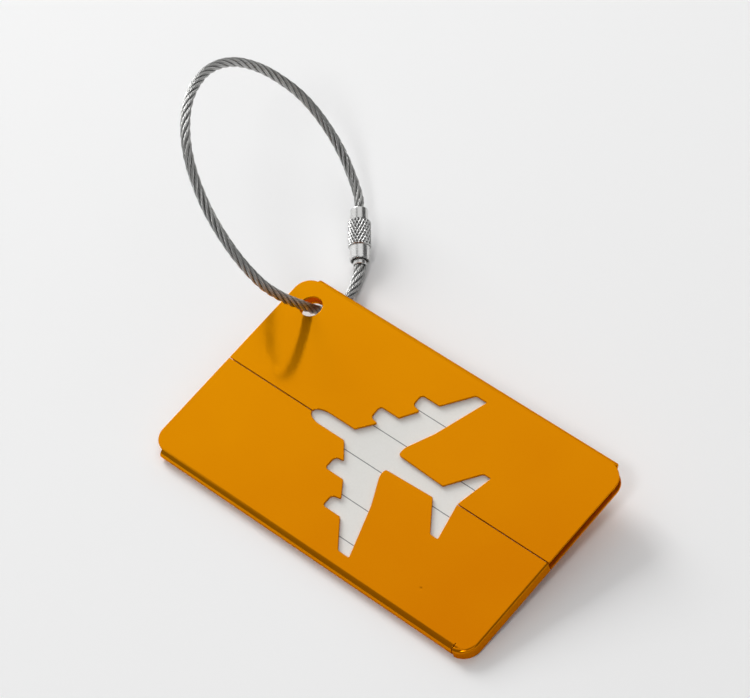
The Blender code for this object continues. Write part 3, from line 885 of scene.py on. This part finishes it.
def carried_frames(line):
    """Directions across the line that turn as little as they can from one point to the next."""
    ahead = [(line[min(i + 1, len(line) - 1)] - line[max(i - 1, 0)]).normalized() for i in range(len(line))]
    across = ahead[0].orthogonal().normalized()
    frames = []
    for before, here in zip([ahead[0]] + ahead, ahead):
        across = before.rotation_difference(here) @ across
        across = (across - here * across.dot(here)).normalized()
        frames.append((here, across, here.cross(across)))
    return frames


def strand_outline():
    """(angle, radius) round a strand whose outer wires are circles set round its middle."""
    points = []
    for wire in range(WIRES):
        for i in range(RING_POINTS_PER_WIRE):
            off = math.pi / WIRES * (2 * i / RING_POINTS_PER_WIRE - 1)
            chord = math.sqrt(WIRE_RADIUS**2 - (WIRE_HELIX * math.sin(off)) ** 2)
            reach = WIRE_HELIX * math.cos(off) + chord
            points.append((math.tau * wire / WIRES + off, reach))
    return points


def spread_at(before_mouth):
    """How much wider than usual the rope is, this far before the swivel sleeve's mouth."""
    if before_mouth <= 0:
        return 1.0
    spread = 1 + FLARE * math.exp(-((before_mouth / FLARE_LENGTH) ** 2))
    return min(spread, 1 + FLARE * before_mouth / FLARE_GATHER + FLARE_LEFT)


def make_rope(material):
    line, length = rope_line()
    frames = carried_frames(line)
    outline = strand_outline()
    crest = max(reach for angle, reach in outline)
    groove = min(reach for angle, reach in outline)
    sleeve_mouth = length - (ROPE_END_IN_SLEEVE - SLEEVE_START)
    work = bmesh.new()
    valley_shade = work.verts.layers.float.new("valley_shade")
    for strand in range(STRANDS):
        previous = None
        for index, (centre, (ahead, across, side)) in enumerate(zip(line, frames)):
            along = length * index / (len(line) - 1)
            spread = spread_at(sleeve_mouth - along)
            around = math.tau * (along / ROPE_LAY + strand / STRANDS)
            outward = across * math.cos(around) + side * math.sin(around)
            turning = side * math.cos(around) - across * math.sin(around)
            middle = centre + outward * (STRAND_HELIX * spread)
            slant = math.tau * STRAND_HELIX / ROPE_LAY
            strand_ahead = (ahead + turning * slant).normalized()
            cross = strand_ahead.cross(outward)
            twist = -math.tau * along / WIRE_LAY
            ring = [
                work.verts.new(
                    middle
                    + outward * (spread * reach * math.cos(angle + twist))
                    + cross * (spread * reach * math.sin(angle + twist))
                )
                for angle, reach in outline
            ]
            # Painted shade for the wire's colour: strongest deep between strands and in the grooves between
            # wires.
            for vert, (angle, reach) in zip(ring, outline):
                out = (vert.co - centre).length / spread
                between_strands = max(0.0, (VALLEY_TOP - out) / (VALLEY_TOP - VALLEY_BOTTOM))
                between_wires = GROOVE_SHADE * (crest - reach) / (crest - groove)
                vert[valley_shade] = min(1.0, between_strands + between_wires)
            if previous is None:
                work.faces.new(ring[::-1])
            else:
                for a, b, c, d in zip(previous, previous[1:] + previous[:1], ring[1:] + ring[:1], ring):
                    work.faces.new((a, b, c, d))
            previous = ring
        work.faces.new(previous)
    mesh = bpy.data.meshes.new("twisted_wire")
    work.to_mesh(mesh)
    work.free()
    mesh.shade_smooth()
    mesh.set_sharp_from_angle(angle=math.radians(75))
    rope = new_object("twisted_wire", mesh, material)
    return rope, [TAG @ point for point in line[::4] + [line[-1]]], length


# --- Room ---


def area_light(name, place, target, size, radiance):
    """A flat lamp with this radiance all over, facing the target."""
    data = bpy.data.lights.new(name, "AREA")
    data.shape = "RECTANGLE"
    data.size, data.size_y = size
    data.energy = radiance * math.pi * size[0] * size[1]
    lamp = bpy.data.objects.new(name, data)
    bpy.context.scene.collection.objects.link(lamp)
    lamp.location = place
    lamp.rotation_mode = "QUATERNION"
    lamp.rotation_quaternion = (Vector(target) - Vector(place)).to_track_quat("-Z", "Y")


def make_room():
    work = bmesh.new()
    bmesh.ops.create_grid(work, x_segments=1, y_segments=1, size=FLOOR_HALF)
    mesh = bpy.data.meshes.new("floor")
    work.to_mesh(mesh)
    work.free()
    floor = new_object("floor", mesh, floor_white(), Matrix.Identity(4))

    world = bpy.data.worlds.new("room")
    bpy.context.scene.world = world
    world.use_nodes = True
    background = world.node_tree.nodes["Background"]
    background.inputs["Color"].default_value = (1.0, 1.0, 1.0, 1.0)
    background.inputs["Strength"].default_value = AMBIENT

    for name, place, target, size, radiance in LAMPS:
        area_light(name, place, target, size, radiance)


def main():
    make_camera()
    rope, path, length = make_rope(drawn_wire())
    steel = turned_steel()
    barrel = make_barrel(knurled_steel())
    collar = make_collar(steel)
    sleeve = make_sleeve(steel)
    gold = gold_anodised()
    pieces = [
        (make_upper_shell(gold), "upper_shell", "upper_shell", "gold_anodised"),
        (make_lower_shell(gold), "lower_shell", "lower_shell", "gold_anodised"),
        (make_card(card_stock()), "lower_shell", "id_card", "card"),
        (rope, "wire_loop", "wire_rope", "wire"),
        (sleeve, "wire_loop", "swivel_ferrule", "steel"),
        (barrel, "barrel_nut", "barrel_nut", "knurled_steel"),
        (collar, "stud_ferrule", "stud_ferrule", "steel"),
    ]
    for piece, body, node, finish in pieces:
        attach(piece, body)
        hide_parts(node)
    make_room()
    bpy.context.scene.view_settings.view_transform = "Standard"


main()
